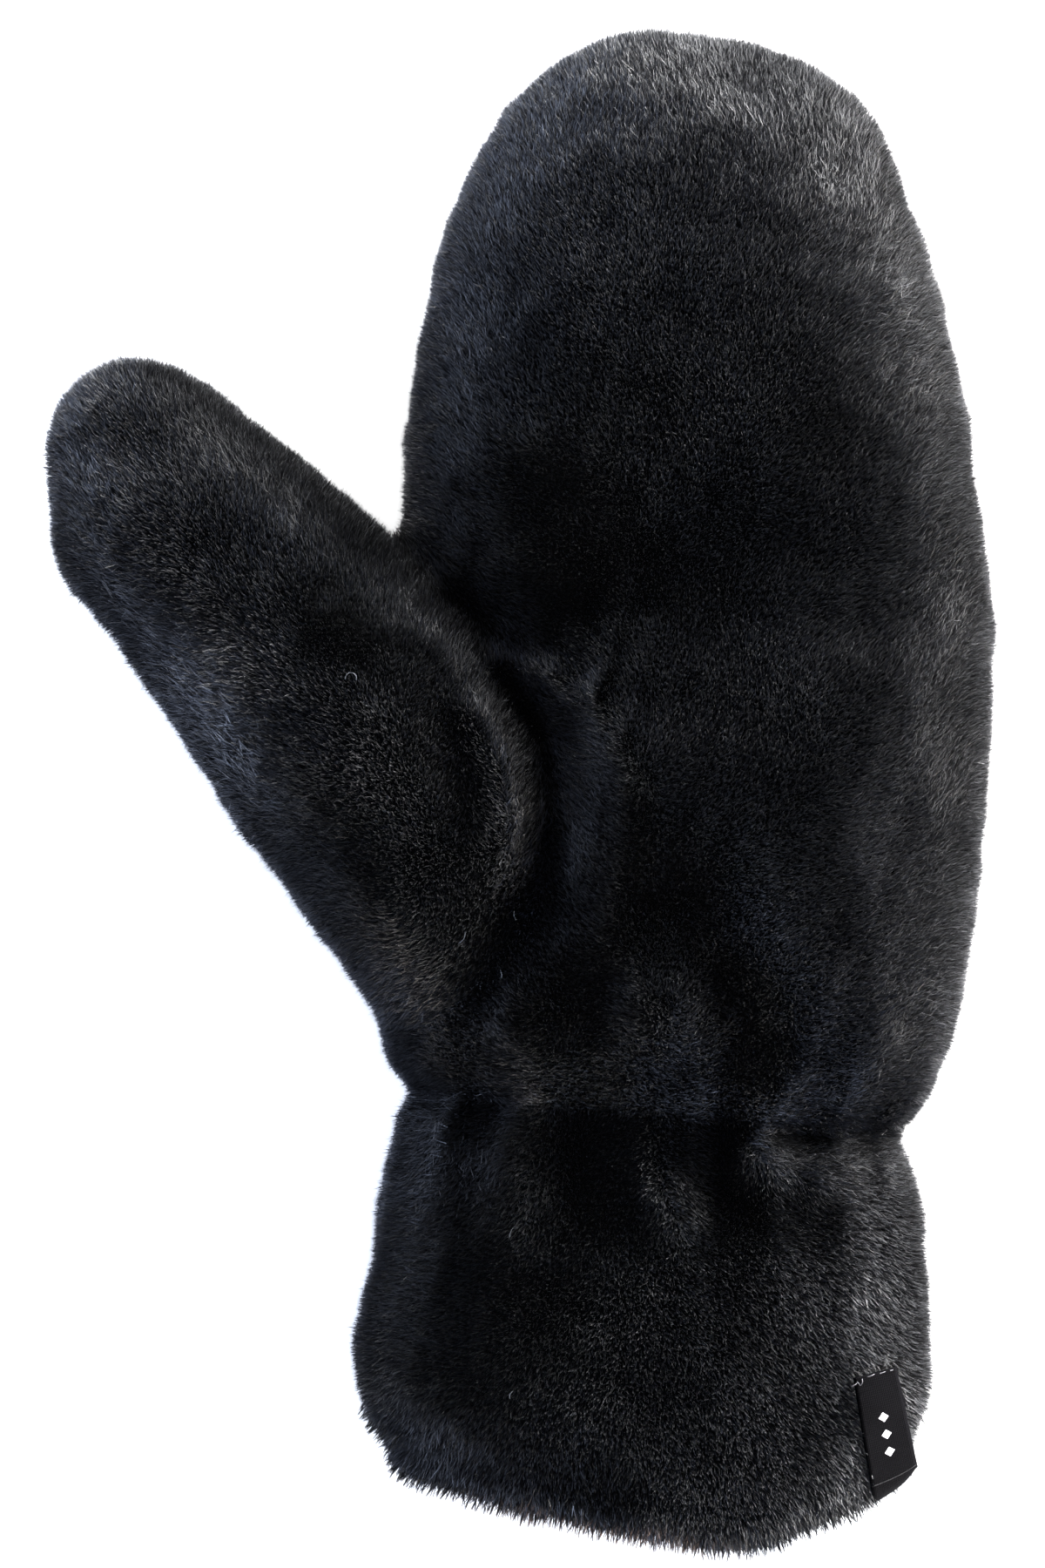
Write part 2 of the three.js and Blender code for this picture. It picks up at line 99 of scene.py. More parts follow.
# %% Camera
VIEW_HEIGHT = 330.6 * MM
CAMERA_DISTANCE = 1.2
VIEW_LEVEL = 28 * MM
SENSOR = 36

camera_data = bpy.data.cameras.new("camera")
camera_data.sensor_width = SENSOR
camera_data.lens = SENSOR * CAMERA_DISTANCE / VIEW_HEIGHT
camera = bpy.data.objects.new("camera", camera_data)
camera.location = (0.83 * MM, 0.73 * MM, VIEW_LEVEL + CAMERA_DISTANCE)
bpy.context.scene.collection.objects.link(camera)
bpy.context.scene.camera = camera
print("Lens in mm:", round(camera_data.lens, 1))

# %% [markdown]
# ## Floor and light
#
# Black pile only shows its form by a grey sheen where light grazes it. So the soft lights stand
# low at the right, at the fingertips and, weaker and cooler, at the left, and the sky above is
# dim: the middle of the palm stays near black and the edges turn grey. The mitten lies on a
# light table, a sheet of opal acrylic lit from below, which stays white and takes no shadow.

# %% Floor and light
def link(obj):
    bpy.context.scene.collection.objects.link(obj)
    return obj


def mesh_object(name, vertices, faces):
    mesh = bpy.data.meshes.new(name)
    mesh.from_pydata([tuple(v) for v in vertices], [], faces)
    return link(bpy.data.objects.new(name, mesh))


def acrylic_material():
    """Opal acrylic lit from below: an even white glow under a matte white surface."""
    material, tree = new_material("backlit_opal_acrylic")
    shader = add_node(
        tree, "ShaderNodeBsdfPrincipled", Base_Color=linear("#f0f0f0"), Roughness=0.8, IOR=1.49
    )
    shader.inputs["Emission Color"].default_value = linear("#ffffff")
    shader.inputs["Emission Strength"].default_value = TABLE_GLOW
    finish_material(tree, shader)
    return material


def soft_light(name, place, aim, size, watts, colour):
    data = bpy.data.lights.new(name, "AREA")
    data.shape = "RECTANGLE"
    data.size, data.size_y = size
    data.energy = watts
    data.color = linear(colour)[:3]
    light = link(bpy.data.objects.new(name, data))
    light.location = place
    light.rotation_euler = (Vector(aim) - Vector(place)).to_track_quat("-Z", "Y").to_euler()


HALF_FLOOR = 20
TABLE_GLOW = 0.6
corner_signs = ((-1, -1), (1, -1), (1, 1), (-1, 1))
floor_corners = [(x * HALF_FLOOR, y * HALF_FLOOR, 0) for x, y in corner_signs]
floor = mesh_object("floor", floor_corners, [(0, 1, 2, 3)])
floor.data.materials.append(acrylic_material())

# name, place and size in metres, watts and colour
studio = [
    ("window_light", (0.95, 0.95, 0.2), (1.2, 0.25), 178, "#ffffff"),
    ("finger_light", (-0.1, 1.34, 0.17), (1.2, 0.25), 70, "#ffffff"),
    ("right_light", (1.34, -0.1, 0.17), (1.2, 0.25), 64, "#ffffff"),
    ("left_light", (-1.26, -0.45, 0.2), (1.2, 0.25), 62, "#cfdfff"),
    ("cuff_light", (1.09, -0.76, 0.26), (1.0, 0.3), 32, "#fff6ec"),
    ("cool_fill", (-0.9, -0.6, 0.8), (1.0, 1.0), 6, "#8fb4ff"),
]
LIGHTS_AIM = (0, 0, 0.03)
SKY = 0.18
for name, place, size, watts, colour in studio:
    soft_light(name, place, LIGHTS_AIM, size, watts, colour)
print("Lights:", ", ".join(f"{name} {watts} W" for name, _, _, watts, _ in studio))

world = bpy.data.worlds.new("dim_sky")
world.use_nodes = True
world.node_tree.nodes["Background"].inputs["Color"].default_value = linear("#ffffff")
world.node_tree.nodes["Background"].inputs["Strength"].default_value = SKY
bpy.context.scene.world = world
bpy.context.scene.view_settings.view_transform = "Standard"

# %% [markdown]
# ## One skin for the pile
#
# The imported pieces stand 0.3 mm apart at their seams. On the real mitten the pile closes over
# the seams, so the fibres need one surface without gaps. Copies of the four plush solids are
# let out a little until they touch, and a voxel remesh makes them one skin.

# %% Fuse the plush solids into one skin
LET_OUT = 0.55 * MM
SKIN_VOXEL = 1.5 * MM
SKIN_SMOOTHING = 10
WELD = 1e-6


def welded(node):
    """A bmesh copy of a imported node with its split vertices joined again."""
    bm = bmesh.new()
    bm.from_mesh(nodes[node].data)
    bmesh.ops.remove_doubles(bm, verts=bm.verts, dist=WELD)
    bmesh.ops.recalc_face_normals(bm, faces=bm.faces)
    return bm


def applied(obj):
    """The object's mesh with its modifiers applied."""
    graph = bpy.context.evaluated_depsgraph_get()
    return bpy.data.meshes.new_from_object(obj.evaluated_get(graph), depsgraph=graph)


def remeshed(mesh, voxel, smoothing):
    """A mesh with even faces through a voxel remesh, smoothed after it."""
    obj = link(bpy.data.objects.new("remesh", mesh))
    remesh = obj.modifiers.new("voxels", "REMESH")
    remesh.mode = "VOXEL"
    remesh.voxel_size = voxel
    smooth = obj.modifiers.new("smooth", "SMOOTH")
    smooth.factor = 0.5
    smooth.iterations = smoothing
    made = applied(obj)
    bpy.data.objects.remove(obj)
    return made


def triangles_of(mesh):
    mesh.calc_loop_triangles()
    tris = np.empty(len(mesh.loop_triangles) * 3, np.int32)
    mesh.loop_triangles.foreach_get("vertices", tris)
    return tris.reshape(-1, 3)


def points_of(mesh):
    points = np.empty(len(mesh.vertices) * 3)
    mesh.vertices.foreach_get("co", points)
    return points.reshape(-1, 3)


def normals_of(mesh):
    normals = np.empty(len(mesh.vertices) * 3, np.float32)
    mesh.vertex_normals.foreach_get("vector", normals)
    return normals.reshape(-1, 3).astype(float)


def fused_skin():
    joined = bmesh.new()
    for node in plush_nodes:
        part = welded(node)
        part.normal_update()
        for vertex in part.verts:
            vertex.co += vertex.normal * LET_OUT
        mesh = bpy.data.meshes.new("part")
        part.to_mesh(mesh)
        joined.from_mesh(mesh)
        part.free()
    mesh = bpy.data.meshes.new("joined")
    joined.to_mesh(mesh)
    joined.free()
    return remeshed(mesh, SKIN_VOXEL, SKIN_SMOOTHING)


# %% [markdown]
# ## Soft random waves
#
# Cloth and pile are never quite even. A sum of a few sine waves in random directions gives a
# smooth unevenness of any scale, the same on every run.

# %% Waves
def unit(vectors):
    return vectors / np.maximum(np.linalg.norm(vectors, axis=-1, keepdims=True), 1e-12)


def waves(points, length, seed, count=10):
    """Smooth random values, mostly from -1 to 1, that change over about that length."""
    rng = np.random.default_rng(seed)
    ways = unit(rng.normal(size=(count, 3))) * rng.uniform(0.7, 1.4, (count, 1))
    phases = rng.uniform(0, 2 * np.pi, count)
    return np.sin(points @ ways.T * (2 * np.pi / length) + phases).sum(1) / np.sqrt(count)


# %% [markdown]
# ## Folds in the soft cloth
#
# Below the end of its seam the thumb's panel runs on into the palm without a crease, so the
# skin is smoothed there. Along the seam the cloth rolls up into a soft ridge, and a few more
# folds show where the light catches them. Each is a stroke in plan, raised or lowered. Small
# waves over the whole skin give the uneven outline of a stuffed, hand-sewn thing.

# %% Shape the folds
# All in millimetres, start and end as x and y in plan
folds = [
    {"start": (-12, 27), "end": (-8, 17), "spread": 4.5, "rise": 1.0},
    {"start": (-7, 16), "end": (-2.5, 6), "spread": 5, "rise": 1.6},
    {"start": (-2, 5), "end": (-1, -4), "spread": 5, "rise": 1.7},
    {"start": (-1, -5), "end": (-4, -15), "spread": 5, "rise": 1.4},
    {"start": (-14, 12), "end": (-9, -6), "spread": 6, "rise": -1.6},
    {"start": (-5, 27), "end": (6, 24), "spread": 3.5, "rise": 2.2},
    {"start": (12, 16), "end": (24, 5), "spread": 9, "rise": 1.8},
    {"start": (30, -84), "end": (33, -89), "spread": 5, "rise": 2.2},
    {"start": (50, -77), "end": (62, -82), "spread": 4.5, "rise": 2.4},
    {"start": (54, -72), "end": (78, -75), "spread": 2.5, "rise": -2.0},
    {"start": (28, -46), "end": (33, -46), "spread": 7, "rise": 1.2},
]
SEAM_END = (-2, -23)
BLEND_END = (-26, -46)
BLEND_REACH = 13
BLEND_PASSES = 90
TOP_FROM = 25 * MM
BLEND_FROM = 20 * MM
FLOOR_REACH = 8 * MM

# Waves in millimetres: their length, and their height on top and at the sides
uneven = [
    {"over": 26, "by": 0.3, "at_sides": 0.45},
    {"over": 10, "by": 0.1, "at_sides": 0.35},
]


def beside_stroke(plan, start, end):
    """How far points in plan are from a stroke, in metres."""
    start, end = np.array(start) * MM, np.array(end) * MM
    run = end - start
    share = np.clip((plan - start) @ run / (run @ run), 0, 1)
    return np.linalg.norm(plan - start - share[:, None] * run, axis=1)


def folded(mesh):
    """The skin with its folds, and without the crease below the end of the thumb's seam."""
    points, normals = points_of(mesh), normals_of(mesh)
    facing_up = np.clip(normals[:, 2] * 1.5, 0, 1) * (points[:, 2] > TOP_FROM)
    for fold in folds:
        away = beside_stroke(points[:, :2], fold["start"], fold["end"]) / (fold["spread"] * MM)
        points[:, 2] += facing_up * fold["rise"] * MM * np.exp(-(away**2))
    off_floor = np.clip(points[:, 2] / FLOOR_REACH, 0, 1)
    sides = np.clip(1 - 2 * np.abs(normals[:, 2]), 0, 1)
    for k, wave in enumerate(uneven):
        height = wave["by"] + (wave["at_sides"] - wave["by"]) * sides
        size = off_floor * waves(points, wave["over"] * MM, 51 + k) * height * MM
        points += normals * size[:, None]
    mesh.vertices.foreach_set("co", points.ravel())
    obj = link(bpy.data.objects.new("folded", mesh))
    group = obj.vertex_groups.new(name="blend")
    away = beside_stroke(points[:, :2], SEAM_END, BLEND_END) / (BLEND_REACH * MM)
    weight = np.clip(1.4 - 1.4 * away, 0, 1) * (points[:, 2] > BLEND_FROM)
    for i in np.flatnonzero(weight):
        group.add([int(i)], weight[i], "REPLACE")
    smooth = obj.modifiers.new("smooth", "SMOOTH")
    smooth.iterations = BLEND_PASSES
    smooth.vertex_group = "blend"
    made = applied(obj)
    bpy.data.objects.remove(obj)
    return made


skin = folded(fused_skin())
print("Skin:", len(skin.vertices), "vertices,", len(skin.polygons), "faces")

# %% [markdown]
# ## Outside and hollow
#
# Fibres grow only on the outside and round the hem. A face is outside if enough rays from it
# get away without heading for the open mouth of the cuff. Each face also takes the name of
# the piece that it lies on.

# %% Sort the skin's faces
def even_directions(count):
    """Directions spread evenly over a sphere, on a spiral."""
    k = np.arange(count) + 0.5
    height = 1 - 2 * k / count
    turn = k * np.pi * (3 - np.sqrt(5))
    across = np.sqrt(1 - height**2)
    return np.stack([across * np.cos(turn), across * np.sin(turn), height], 1)


TOWARDS_MOUTH = -0.45
OUTSIDE_SHARE = 0.12
RAY_LIFT = 0.8 * MM
RAY_RISE = 0.15
RAY_LENGTH = 0.4
directions = [Vector(d) for d in even_directions(40) if d[1] > TOWARDS_MOUTH]

skin_points = points_of(skin)
skin_normals = normals_of(skin)
skin_tris = triangles_of(skin)
skin_tree = BVHTree.FromPolygons(skin_points.tolist(), skin_tris.tolist())


def open_share(point, normal):
    """The share of the directions above a place in which nothing stands in the way."""
    start = point + normal * RAY_LIFT
    tried = [d for d in directions if d.dot(normal) > RAY_RISE]
    away = [d for d in tried if skin_tree.ray_cast(start, d, RAY_LENGTH)[0] is None]
    return len(away) / max(len(tried), 1)


vertex_open = np.array(
    [open_share(Vector(p), Vector(n)) for p, n in zip(skin_points, skin_normals)]
)
tri_open = vertex_open[skin_tris].mean(1)
outside = tri_open > OUTSIDE_SHARE

node_trees = {}
for node in plush_nodes:
    bm = welded(node)
    node_trees[node] = BVHTree.FromBMesh(bm)
    bm.free()


def node_distances(points):
    """How far each point is from each plush node, a column for each node."""
    return np.array([[node_trees[n].find_nearest(p)[3] for n in plush_nodes] for p in points])


tri_middle = skin_points[skin_tris].mean(1)
tri_node = node_distances(tri_middle).argmin(1)
edge_a = skin_points[skin_tris[:, 1]] - skin_points[skin_tris[:, 0]]
edge_b = skin_points[skin_tris[:, 2]] - skin_points[skin_tris[:, 0]]
tri_area = np.linalg.norm(np.cross(edge_a, edge_b), axis=1) / 2
for k, node in enumerate(plush_nodes):
    area = tri_area[outside & (tri_node == k)].sum()
    print(f"{node}: {area * 1e4:.0f} square cm of pile")

# %% [markdown]
# ## Knitted backing and lining
#
# Under the pile lies the cloth that it is knitted into. Each plush solid is remeshed on its own
# and its outside is pushed in by the depth of the pile, so one closed piece shows the backing
# between the fibres and the brushed lining in the hollow. Past the rim of the cuff's mouth the
# pile ends, and so does the push.

# %% Backing pieces
PILE_DEPTH = 2.5 * MM
PRESSED_DEPTH = 1.4 * MM
BACKING_VOXEL = 2.4 * MM
BACKING_SMOOTHING = 3
LINING_FROM = 4 * MM
PILE_END = 4 * MM

outside_tree = BVHTree.FromPolygons(skin_points.tolist(), skin_tris[outside].tolist())


def pressed_share(height, normal_z):
    """0 on top and 1 where the mitten rests on the floor."""
    return np.clip(-normal_z, 0, 1) * np.clip(1 - height / FLOOR_REACH, 0, 1)


def pile_depth(height, normal_z):
    """The pile's depth: full on top, and pressed flat where the mitten rests."""
    return PILE_DEPTH + (PRESSED_DEPTH - PILE_DEPTH) * pressed_share(height, normal_z)


def pushed_in(points):
    """Points kept at least the pile's depth below the outside, and how deep each then is."""
    depths = np.empty(len(points))
    for i, point in enumerate(points):
        near, normal, _, _ = outside_tree.find_nearest(point)
        depth = (near - Vector(point)).dot(normal)
        beside = (near - Vector(point) - normal * depth).length
        wanted = pile_depth(near.z, normal.z) * max(0, 1 - beside / PILE_END)
        if depth < wanted:
            points[i] = np.array(point) - np.array(normal) * (wanted - depth)
        depths[i] = max(depth, wanted) + beside
    return points, depths


def backing(node):
    """A packed plush solid as backing and lining, with the lining as its second material."""
    bm = welded(node)
    mesh = bpy.data.meshes.new("copy")
    bm.to_mesh(mesh)
    bm.free()
    made = remeshed(mesh, BACKING_VOXEL, BACKING_SMOOTHING)
    points, depths = pushed_in(points_of(made))
    made.vertices.foreach_set("co", points.ravel())
    made.update()
    obj = link(bpy.data.objects.new(node.split("_")[0] + "_backing", made))
    made.polygons.foreach_set("use_smooth", [True] * len(made.polygons))
    starts = np.array([p.vertices[0] for p in made.polygons])
    made.polygons.foreach_set("material_index", (depths[starts] > LINING_FROM).astype(np.int32))
    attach(obj, "root")
    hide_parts(node)
    print(obj.name, len(made.polygons), "faces")
    return obj


backings = [backing(node) for node in plush_nodes]

# %% [markdown]
# ## Cloth materials
#
# The backing is a fine black knit, with rows of small loops about 1.2 mm apart. The lining is
# a brushed knit: a soft, matte nap with a cloudy surface. Both are drawn as bump, because they
# show only between the fibres and in the mouth of the cuff.

# %% Backing and lining materials
KNIT_ROW = 1.2 * MM
NAP_CLUMP = 1.6 * MM
CLOUD = 14 * MM


def wave_scale(period):
    """The Scale of a wave texture with one band to each period."""
    return np.pi / 10 / period


def knit_material():
    """Black polyester knit: matte, with small loops in rows."""
    material, tree = new_material("black_knitted_backing")
    place = add_node(tree, "ShaderNodeTexCoord")
    rows = add_node(
        tree,
        "ShaderNodeTexWave",
        {"wave_type": "BANDS", "bands_direction": "Y"},
        Vector=place.outputs["Object"],
        Scale=wave_scale(KNIT_ROW),
        Distortion=1.5,
        Detail=1.0,
    )
    relief = add_node(
        tree, "ShaderNodeBump", Height=rows.outputs["Fac"], Strength=0.5, Distance=0.3 * MM
    )
    shader = add_node(
        tree,
        "ShaderNodeBsdfPrincipled",
        Base_Color=linear("#0a0b0c"),
        Roughness=0.9,
        IOR=1.5,
        Normal=relief.outputs["Normal"],
    )
    shader.inputs["Specular IOR Level"].default_value = 0.1
    finish_material(tree, shader)
    return material


def lining_material():
    """Brushed polyester lining: dark and matte, with a clumped nap and a cloudy, handled look."""
    material, tree = new_material("brushed_black_lining")
    place = add_node(tree, "ShaderNodeTexCoord")
    nap = add_node(
        tree, "ShaderNodeTexNoise", Vector=place.outputs["Object"], Scale=1 / NAP_CLUMP, Detail=5.0
    )
    clouds = add_node(
        tree, "ShaderNodeTexNoise", Vector=place.outputs["Object"], Scale=1 / CLOUD, Detail=2.0
    )
    mixed = add_node(
        tree,
        "ShaderNodeMath",
        {"operation": "MULTIPLY"},
        _0=nap.outputs["Fac"],
        _1=clouds.outputs["Fac"],
    )
    tone = add_node(
        tree,
        "ShaderNodeMapRange",
        Value=mixed.outputs[0],
        From_Min=0.12,
        From_Max=0.4,
    )
    colour = add_node(
        tree,
        "ShaderNodeMix",
        {"data_type": "RGBA"},
        _0=tone.outputs["Result"],
        _6=linear("#060708"),
        _7=linear("#17181b"),
    )
    relief = add_node(
        tree, "ShaderNodeBump", Height=nap.outputs["Fac"], Strength=0.8, Distance=0.9 * MM
    )
    shader = add_node(
        tree,
        "ShaderNodeBsdfPrincipled",
        Base_Color=colour.outputs[2],
        Roughness=0.95,
        IOR=1.5,
        Normal=relief.outputs["Normal"],
    )
    shader.inputs["Sheen Weight"].default_value = 0.08
    shader.inputs["Specular IOR Level"].default_value = 0.1
    finish_material(tree, shader)
    return material


knit = knit_material()
lining = lining_material()
for obj in backings:
    obj.data.materials.append(knit)
    obj.data.materials.append(lining)
    print(obj.name, "has", [material.name for material in obj.data.materials])

# %% [markdown]
# ## The lie of the pile
#
# Brushed pile has a nap: on the hand it lies towards the fingertips, on the thumb towards its
# tip, and on the cuff out towards the hem. Each field is drawn as rays from one place. Soft
# random waves bend it, which gives the cloudy sheen of handled plush. A table lists where a
# hand has brushed the pile flatter, which makes it lighter, or stood it up, which darkens it.

# %% Nap directions
NAP_ORIGINS = {
    "palm_panel": (32, -160),
    "back_panel": (32, -160),
    "thumb": (5, -30),
    "cuff": (28, -80),
}
CUFF_FALL = 0.35
CUFF_REACH = 60 * MM
BRUSHED_FROM = 22 * MM

# at and reach in millimetres in plan, lean in degrees
brushed = [
    {"at": (-86, 88), "reach": 17, "lean": -25},
    {"at": (-36, 37), "reach": 17, "lean": -42},
    {"at": (-50, 62), "reach": 12, "lean": 10},
    {"at": (-66, 12), "reach": 22, "lean": 28},
    {"at": (-92, 68), "reach": 14, "lean": 8},
    {"at": (-7, 15), "reach": 5, "lean": 9},
    {"at": (-1, 4), "reach": 6, "lean": 11},
    {"at": (-1, -8), "reach": 6, "lean": 14},
    {"at": (26, 144), "reach": 18, "lean": 6},
    {"at": (-28.6, 17.3), "reach": 6, "lean": 12},
    {"at": (0.8, 25.5), "reach": 6, "lean": 16},
    {"at": (20, 10), "reach": 12, "lean": -8},
    {"at": (31, -85), "reach": 5, "lean": 8},
    {"at": (55, -77), "reach": 6, "lean": 18},
    {"at": (74, -80), "reach": 9, "lean": 12},
    {"at": (83, -100), "reach": 18, "lean": -12},
    {"at": (-28, -112), "reach": 22, "lean": -12},
    {"at": (28, -118), "reach": 30, "lean": -5},
    {"at": (37, 55), "reach": 35, "lean": -4},
    {"at": (8, 46), "reach": 18, "lean": -16},
    {"at": (56, 19), "reach": 12, "lean": 4},
    {"at": (56, -36), "reach": 14, "lean": 15},
    {"at": (65, -108), "reach": 12, "lean": 14},
    {"at": (94, 10), "reach": 14, "lean": 8},
    {"at": (57, 124), "reach": 18, "lean": 20},
    {"at": (22, 146), "reach": 9, "lean": 12},
    {"at": (80, -70), "reach": 9, "lean": 6},
    {"at": (30, -60), "reach": 10, "lean": -14},
    {"at": (15, -63), "reach": 8, "lean": -6},
    {"at": (-3, -56), "reach": 8, "lean": -8},
    {"at": (82, -115), "reach": 9, "lean": -8},
    {"at": (71, -84), "reach": 6, "lean": -8},
    {"at": (62, -91), "reach": 8, "lean": 7},
    {"at": (34, -91), "reach": 6, "lean": -8},
    {"at": (-12, 63), "reach": 12, "lean": -8},
    {"at": (-12, 26), "reach": 5, "lean": -8},
    {"at": (-67, 82), "reach": 8, "lean": 8},
    {"at": (11, 27), "reach": 7, "lean": -8},
    {"at": (6, 6), "reach": 5, "lean": 5},
    {"at": (-3, 8), "reach": 5, "lean": -6},
    {"at": (25, 31), "reach": 7, "lean": -5},
    {"at": (15, 1), "reach": 7, "lean": -8},
    {"at": (-22, 45), "reach": 7, "lean": 20},
    {"at": (71, -52), "reach": 10, "lean": 6},
    {"at": (-85, 41), "reach": 8, "lean": 8},
    {"at": (89, 19), "reach": 14, "lean": -4},
    {"at": (63, 63), "reach": 10, "lean": 9},
    {"at": (70, 100), "reach": 8, "lean": 8},
    {"at": (47, 151), "reach": 7, "lean": -13},
    {"at": (27, 158), "reach": 7, "lean": -12},
    {"at": (89, -18), "reach": 12, "lean": -6},
    {"at": (82, 111), "reach": 11, "lean": 6},
    {"at": (10, -146), "reach": 12, "lean": 12},
    {"at": (-12, -78), "reach": 14, "lean": 34},
]


def brushed_lean(points):
    """How much more the pile leans at each point for having been brushed."""
    ragged = 1 + 0.25 * waves(points, 9 * MM, 61)
    lean = np.zeros(len(points))
    for patch in brushed:
        away = np.linalg.norm(points[:, :2] - np.array(patch["at"]) * MM, axis=1)
        lean += patch["lean"] * np.exp(-((away / (patch["reach"] * MM) * ragged) ** 2))
    return lean * (points[:, 2] > BRUSHED_FROM)


def brushing(points, node):
    """The way a hand would brush the pile at each point, in plan."""
    origin = np.array([*NAP_ORIGINS[node], 0]) * MM
    way = points - origin
    way[:, 2] = 0
    if node == "cuff":
        way = way / CUFF_REACH - np.array([0, CUFF_FALL, 0])
    return way


def nap_directions(points, normals, node):
    """The way the pile lies at each point, along the surface."""
    way = brushing(points, node)
    flat = way - normals * (way * normals).sum(1, keepdims=True)
    flat = unit(flat + 1e-9)
    side = np.cross(normals, flat)
    turn = 0.35 * waves(points, 45 * MM, 11) + 0.08 * waves(points, 13 * MM, 12)
    return flat * np.cos(turn)[:, None] + side * np.sin(turn)[:, None]


print("Brushed places:", len(brushed))

# %% [markdown]
# ## The folded label
#
# The label is a 10 mm black satin ribbon. It starts on the cuff's face and runs down over the
# hem, where its end is sewn in under the pile. Upright planes along it slice the skin, and each
# slice gives one line of the ribbon. Its left edge is sunk in the pile. The cuff falls away
# under its right side, which spans the slope, because a ribbon doesn't stretch across.

# %% Lay the ribbon over the hem
# The label's top corners and the runs of its sides in plan, in millimetres
LABEL_LEFT, LABEL_RIGHT = np.array([69.8, -122.9]), np.array([78.4, -120.9])
LEFT_RUN, RIGHT_RUN = np.array([4.4, -25.3]), np.array([4.2, -18.9])
RIBBON_WIDTH = 10 * MM
RIBBON_LENGTH = 34 * MM
RIBBON_THICK = 0.4 * MM
RIBBON_COLUMNS = 13
RIBBON_STEP = 0.5 * MM
SUNK, PROUD = -0.35 * MM, 0.7 * MM
FALL = 5.5 * MM
TUCK_RUN, TUCK_DEPTH = 3.5 * MM, 3 * MM
RIBBON_PASSES = 6
NEAR_LABEL = 45 * MM
ABOVE_ALL = 0.2

near_label = bmesh.new()
near_label.from_mesh(skin)
middle_of_label = Vector(np.array([*(LABEL_LEFT + LEFT_RUN / 2), 30.0]) * MM)
far = [
    f for f in near_label.faces if (f.calc_center_median() - middle_of_label).length > NEAR_LABEL
]
bmesh.ops.delete(near_label, geom=far, context="FACES")


def skin_top(x, y):
    """The highest point of the skin at a place in plan."""
    return skin_tree.ray_cast(Vector((x, y, ABOVE_ALL)), Vector((0, 0, -1)))[0]


def slice_line(start, run):
    """The skin's line from a point in plan along a run and over the hem."""
    start = Vector((*start, 0)) * MM
    along = Vector((*run, 0)).normalized()
    first = skin_top(start.x, start.y)
    bm = near_label.copy()
    cut = bmesh.ops.bisect_plane(
        bm,
        geom=[*bm.verts, *bm.edges, *bm.faces],
        plane_co=start,
        plane_no=along.cross(Vector((0, 0, 1))),
    )
    links = {}
    for edge in (e for e in cut["geom_cut"] if isinstance(e, bmesh.types.BMEdge)):
        for vertex in edge.verts:
            links.setdefault(vertex, []).append(edge.other_vert(vertex))
    ahead = [v for v in links if (v.co - first).dot(along) > 0.1 * MM]
    here = min(ahead, key=lambda v: (v.co - first).length)
    line, length, before = [first, here.co.copy()], (here.co - first).length, None
    while length < RIBBON_LENGTH:
        onward = [v for v in links[here] if v is not before]
        if before is None:
            onward.sort(key=lambda v: -(v.co - here.co).dot(along))
        before, here = here, onward[0]
        line.append(here.co.copy())
        length += (line[-1] - line[-2]).length
    bm.free()
    line = np.array(line)
    at = np.concatenate([[0], np.cumsum(np.linalg.norm(np.diff(line, axis=0), axis=1))])
    steps = np.arange(0, RIBBON_LENGTH, RIBBON_STEP)
    return np.stack([np.interp(steps, at, line[:, k]) for k in range(3)], 1)


shares = np.linspace(0, 1, RIBBON_COLUMNS)
starts = [LABEL_LEFT + (LABEL_RIGHT - LABEL_LEFT) * t for t in shares]
runs = [LEFT_RUN + (RIGHT_RUN - LEFT_RUN) * t for t in shares]
ribbon = np.array([slice_line(start, run) for start, run in zip(starts, runs)])
near_label.free()
fall = ribbon[0, :, 2] - ribbon[:, :, 2]
ribbon[:, :, 2] += np.maximum(fall - FALL * shares[:, None], 0)
for _ in range(RIBBON_PASSES):
    ribbon[:, 1:-1] = (ribbon[:, :-2] + 2 * ribbon[:, 1:-1] + ribbon[:, 2:]) / 4
    ribbon[1:-1] = (ribbon[:-2] + 2 * ribbon[1:-1] + ribbon[2:]) / 4
ribbon_normals = unit(np.cross(np.gradient(ribbon, axis=1), np.gradient(ribbon, axis=0)))
ribbon_normals *= np.sign(ribbon_normals[0, 0, 2])
ribbon_width = np.linalg.norm(np.diff(ribbon, axis=0), axis=2).sum(0).mean()
print(f"Ribbon: {ribbon_width / MM:.1f} mm wide, {RIBBON_LENGTH / MM:.0f} mm long")
to_end = RIBBON_LENGTH - np.arange(ribbon.shape[1]) * RIBBON_STEP
tucked = np.clip(1 - to_end / TUCK_RUN, 0, 1)


